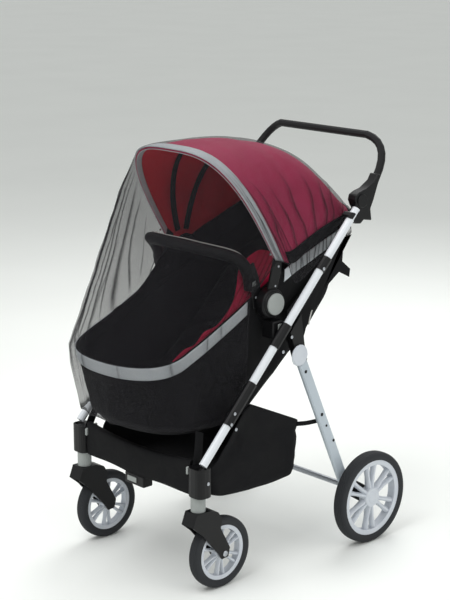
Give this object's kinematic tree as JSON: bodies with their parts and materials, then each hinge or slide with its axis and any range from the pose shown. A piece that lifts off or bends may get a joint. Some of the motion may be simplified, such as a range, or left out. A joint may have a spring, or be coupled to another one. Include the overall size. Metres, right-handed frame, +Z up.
{
  "type": "mosquito net fitted on a baby stroller",
  "caption": "Sheer mosquito net over the hood and seat of a baby stroller, stretched from the front bow to the foot end and hanging around the tub.",
  "frame": {"origin": "on the floor under the middle of the whole object's box", "axes": "+Z up, the seat's foot end faces -Y and the handle +Y, the stroller's own left side is +X"},
  "size_m": [0.581, 0.8011, 1.064],
  "materials": {
    "net_mesh": "fine black polyester mesh, sheer",
    "black_cloth": "matt woven polyester",
    "burgundy_cloth": "woven polyester with a faint sheen",
    "grey_cloth": "light grey woven band",
    "black_plastic": "moulded black plastic",
    "grey_plastic": "moulded light grey plastic",
    "white_plastic": "moulded white plastic",
    "white_paint": "white painted aluminium",
    "black_foam": "closed-cell foam sleeve",
    "tyre_rubber": "solid foamed rubber",
    "grey_steel": "plain steel tube"
  },
  "bodies": {
    "root": {"mosquito_net": "net_mesh", "seat_tub": "black_cloth", "rim_band_front": "grey_cloth", "rim_band_rear": "grey_cloth", "seat_pad": "burgundy_cloth", "hood_skin": "burgundy_cloth", "hood_front_band": "grey_cloth", "hood_binding": "black_cloth", "hood_rib_front": "black_plastic", "hood_rib_rear": "black_plastic", "bumper_bar": "black_foam", "handlebar": "black_foam", "rear_axle": "grey_steel", "cross_member": "black_plastic", "storage_basket": "black_cloth", "hub_boss_left": "black_plastic", "hub_disc_left": "grey_plastic", "bow_leg_left": "black_plastic", "seat_link_left": "black_plastic", "main_tube_left": "white_paint", "sleeve_upper_left": "black_plastic", "sleeve_middle_left": "black_plastic", "sleeve_lower_left": "black_plastic", "rear_leg_left": "white_paint", "leg_bracket_left": "black_plastic", "pivot_cap_left": "white_plastic", "handle_knob_left": "black_plastic", "rear_tyre_left": "tyre_rubber", "rear_wheel_left": "white_plastic", "front_tyre_left": "tyre_rubber", "front_wheel_left": "white_plastic", "rear_bracket_left": "black_plastic", "fork_inner_left": "black_plastic", "fork_outer_left": "black_plastic", "fork_crown_left": "black_plastic", "caster_collar_left": "grey_plastic", "front_block_left": "black_plastic", "hub_boss_right": "black_plastic", "hub_disc_right": "grey_plastic", "bow_leg_right": "black_plastic", "seat_link_right": "black_plastic", "main_tube_right": "white_paint", "sleeve_upper_right": "black_plastic", "sleeve_middle_right": "black_plastic", "sleeve_lower_right": "black_plastic", "rear_leg_right": "white_paint", "leg_bracket_right": "black_plastic", "pivot_cap_right": "white_plastic", "handle_knob_right": "black_plastic", "rear_tyre_right": "tyre_rubber", "rear_wheel_right": "white_plastic", "front_tyre_right": "tyre_rubber", "front_wheel_right": "white_plastic", "rear_bracket_right": "black_plastic", "fork_inner_right": "black_plastic", "fork_outer_right": "black_plastic", "fork_crown_right": "black_plastic", "caster_collar_right": "grey_plastic", "front_block_right": "black_plastic"}
  },
  "joints": []
}
